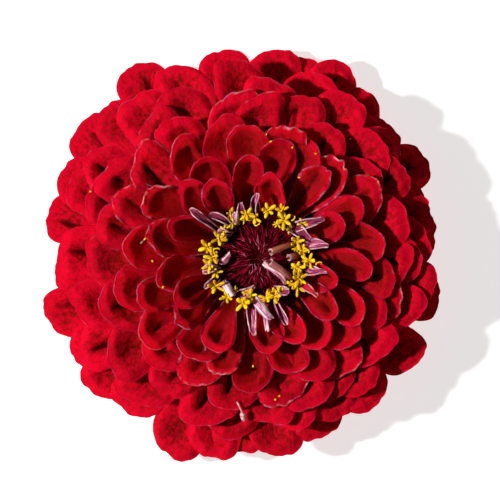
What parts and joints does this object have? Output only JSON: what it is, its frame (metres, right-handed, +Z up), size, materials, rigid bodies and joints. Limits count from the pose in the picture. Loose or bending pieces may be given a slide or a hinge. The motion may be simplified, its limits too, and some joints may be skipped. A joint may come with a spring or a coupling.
{
  "type": "zinnia flower head",
  "caption": "Double crimson zinnia flower head, picked under the calyx: overlapping rounded petals round a disc of yellow star florets and dark chaff.",
  "frame": {"origin": "on the surface that the flower head rests on, under the middle of its outline seen from above", "axes": "+Z up through the open face of the flower; +X and +Y to the right and to the top of the flower as it is looked at from above"},
  "size_m": [0.1112, 0.1164, 0.0411],
  "materials": {
    "stalk": "matte",
    "bracts": "matte",
    "petals": "matte",
    "florets": "satin",
    "chaff": "satin"
  },
  "bodies": {
    "root": {"stalk": "stalk", "calyx": "bracts", "ray_petals": "petals", "disc_florets": "florets", "chaff_eye": "chaff"}
  },
  "joints": []
}
